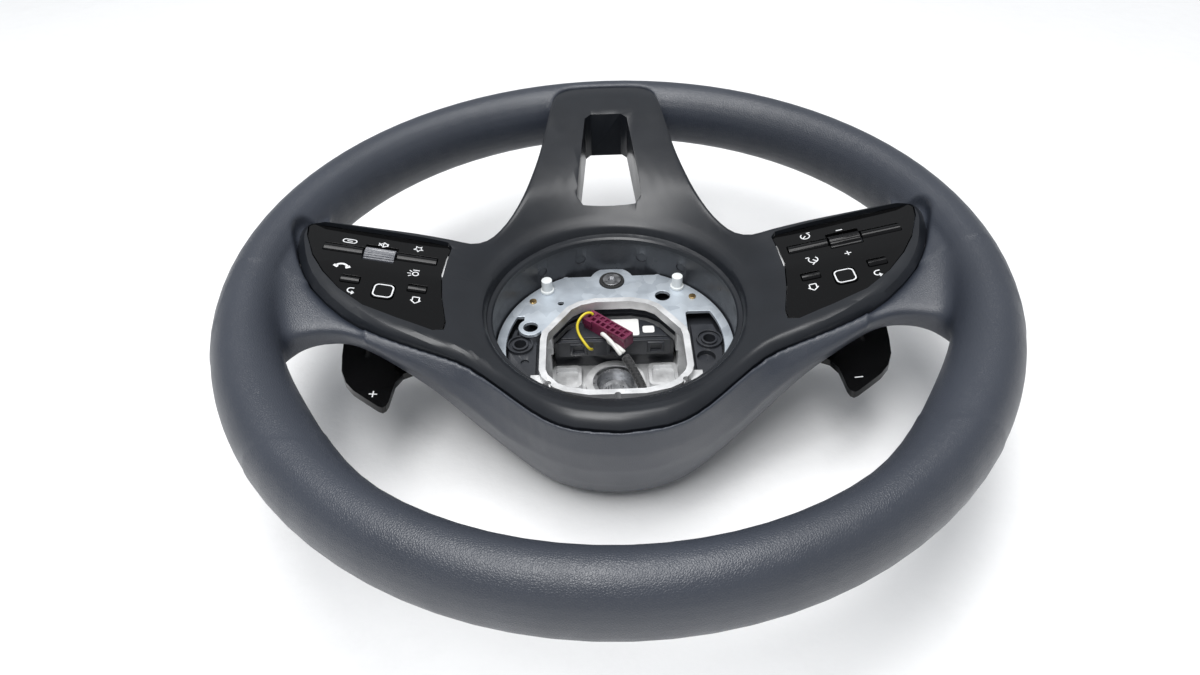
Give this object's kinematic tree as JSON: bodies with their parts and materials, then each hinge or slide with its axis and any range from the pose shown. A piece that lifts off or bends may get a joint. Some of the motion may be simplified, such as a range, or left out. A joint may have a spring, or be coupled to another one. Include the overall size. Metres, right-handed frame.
{
  "type": "car steering wheel",
  "caption": "Car steering wheel lying face up without its airbag: grained rim, dished trim with a slotted lower spoke, two switch panels, shift paddles and an open hub well.",
  "frame": {"origin": "on the steering axis, in the plane that the hub's back rests on", "axes": "+Z along the steering axis towards the driver; -Y towards the top of the wheel; +X towards the driver's left"},
  "size_m": [0.375, 0.375, 0.107],
  "materials": {
    "foam_skin": "fine-grained bluish dark grey skin, satin",
    "cast_metal": "die-cast, unpainted",
    "turned_steel": "turned",
    "galvanised": "galvanised, bluish",
    "satin_black": "satin charcoal paint",
    "moulded_black": "moulded, fine texture",
    "gloss_black": "high gloss",
    "button_black": "satin gloss",
    "rubber_black": "matt",
    "silicone": "translucent grey",
    "brass": "plain",
    "white_plastic": "moulded",
    "burgundy_plastic": "moulded",
    "yellow_wire": "insulation",
    "white_wire": "insulation",
    "sleeve_black": "woven sleeve",
    "circuit_board": "solder mask",
    "roller_grey": "satin silver-grey paint",
    "steel_pin": "ground"
  },
  "bodies": {
    "wheel": {"rim_grip": "foam_skin", "rim_core": "galvanised", "spoke_arms": "cast_metal", "armature": "cast_metal", "hub_frame": "cast_metal", "hub_insert": "turned_steel", "trim_bezel": "satin_black", "lower_spoke_cover": "moulded_black", "rear_cover": "moulded_black", "rear_cover_screws": "turned_steel", "hub_liner": "moulded_black", "airbag_plate": "galvanised", "plate_screw": "turned_steel", "plate_damper": "rubber_black", "plate_rivets": "brass", "guide_posts": "white_plastic", "socket_carrier_left": "moulded_black", "socket_carrier_right": "moulded_black", "control_module": "moulded_black", "connector": "burgundy_plastic", "yellow_wire": "yellow_wire", "white_wire": "white_wire", "harness_sleeve": "sleeve_black", "panel_left": "gloss_black", "panel_right": "gloss_black", "housing_left": "moulded_black", "housing_right": "moulded_black", "dome_mat_left": "silicone", "dome_mat_right": "silicone", "board_left": "circuit_board", "board_right": "circuit_board", "paddle_bracket_left": "moulded_black", "paddle_bracket_right": "moulded_black", "paddle_pin_left": "steel_pin", "paddle_pin_right": "steel_pin"},
    "rocker_inner_left_body": {"rocker_inner_left": "button_black"},
    "rocker_outer_left_body": {"rocker_outer_left": "button_black"},
    "key_inner_left_body": {"key_inner_left": "button_black"},
    "key_outer_left_body": {"key_outer_left": "button_black"},
    "touch_pad_left_body": {"touch_pad_left": "gloss_black"},
    "rocker_inner_right_body": {"rocker_inner_right": "button_black"},
    "rocker_outer_right_body": {"rocker_outer_right": "button_black"},
    "key_inner_right_body": {"key_inner_right": "button_black"},
    "key_outer_right_body": {"key_outer_right": "button_black"},
    "touch_pad_right_body": {"touch_pad_right": "gloss_black"},
    "volume_cradle_body": {"volume_cradle": "moulded_black"},
    "volume_roller_body": {"volume_roller": "roller_grey"},
    "set_roller_body": {"set_roller": "button_black"},
    "paddle_left_body": {"paddle_left": "gloss_black"},
    "paddle_right_body": {"paddle_right": "gloss_black"}
  },
  "joints": [
    {"name": "rocker_inner_left_tilt", "type": "hinge", "parent": "wheel", "child": "rocker_inner_left_body", "pos_m": [0.10045, 0.02246, 0.08181], "axis": [0.9809, 0.0523, 0.1871], "range_deg": [-4, 4], "stiffness_Nm_per_rad": 0.05},
    {"name": "rocker_outer_left_tilt", "type": "hinge", "parent": "wheel", "child": "rocker_outer_left_body", "pos_m": [0.13674, 0.02439, 0.08874], "axis": [0.9809, 0.0523, 0.1871], "range_deg": [-4, 4], "stiffness_Nm_per_rad": 0.05},
    {"name": "key_inner_left_tilt", "type": "hinge", "parent": "wheel", "child": "key_inner_left_body", "pos_m": [0.09758, -0.00014, 0.08046], "axis": [0.9809, 0.0523, 0.1871], "range_deg": [-4, 4], "stiffness_Nm_per_rad": 0.05},
    {"name": "key_outer_left_tilt", "type": "hinge", "parent": "wheel", "child": "key_outer_left_body", "pos_m": [0.12946, 0.00157, 0.08654], "axis": [0.9809, 0.0523, 0.1871], "range_deg": [-4, 4], "stiffness_Nm_per_rad": 0.05},
    {"name": "touch_pad_left_press", "type": "slide", "parent": "wheel", "child": "touch_pad_left_body", "axis": [0.1874, 0, -0.9823], "range_m": [0, 0.0004], "stiffness_N_per_m": 6000},
    {"name": "rocker_inner_right_tilt", "type": "hinge", "parent": "wheel", "child": "rocker_inner_right_body", "pos_m": [-0.10045, 0.02246, 0.08181], "axis": [-0.9809, 0.0523, 0.1871], "range_deg": [-4, 4], "stiffness_Nm_per_rad": 0.05},
    {"name": "rocker_outer_right_tilt", "type": "hinge", "parent": "wheel", "child": "rocker_outer_right_body", "pos_m": [-0.13674, 0.02439, 0.08874], "axis": [-0.9809, 0.0523, 0.1871], "range_deg": [-4, 4], "stiffness_Nm_per_rad": 0.05},
    {"name": "key_inner_right_tilt", "type": "hinge", "parent": "wheel", "child": "key_inner_right_body", "pos_m": [-0.09758, -0.00014, 0.08046], "axis": [-0.9809, 0.0523, 0.1871], "range_deg": [-4, 4], "stiffness_Nm_per_rad": 0.05},
    {"name": "key_outer_right_tilt", "type": "hinge", "parent": "wheel", "child": "key_outer_right_body", "pos_m": [-0.12946, 0.00157, 0.08654], "axis": [-0.9809, 0.0523, 0.1871], "range_deg": [-4, 4], "stiffness_Nm_per_rad": 0.05},
    {"name": "touch_pad_right_press", "type": "slide", "parent": "wheel", "child": "touch_pad_right_body", "axis": [-0.1874, 0, -0.9823], "range_m": [0, 0.0004], "stiffness_N_per_m": 6000},
    {"name": "volume_press", "type": "slide", "parent": "wheel", "child": "volume_cradle_body", "axis": [-0.1874, 0, -0.9823], "range_m": [0, 0.0005], "stiffness_N_per_m": 6000},
    {"name": "volume_turn", "type": "hinge", "parent": "volume_cradle_body", "child": "volume_roller_body", "pos_m": [-0.11865, 0.02343, 0.0858], "axis": [-0.9809, 0.0523, 0.1871], "continuous": true},
    {"name": "set_turn", "type": "hinge", "parent": "wheel", "child": "set_roller_body", "pos_m": [0.11865, 0.02343, 0.0858], "axis": [0.9809, 0.0523, 0.1871], "range_deg": [-12, 12], "stiffness_Nm_per_rad": 0.03},
    {"name": "paddle_left_pull", "type": "hinge", "parent": "wheel", "child": "paddle_left_body", "pos_m": [0.076, -0.014, 0.046], "axis": [0, -1, 0], "range_deg": [0, 5], "stiffness_Nm_per_rad": 3},
    {"name": "paddle_right_pull", "type": "hinge", "parent": "wheel", "child": "paddle_right_body", "pos_m": [-0.076, -0.014, 0.046], "axis": [0, 1, 0], "range_deg": [0, 5], "stiffness_Nm_per_rad": 3}
  ]
}
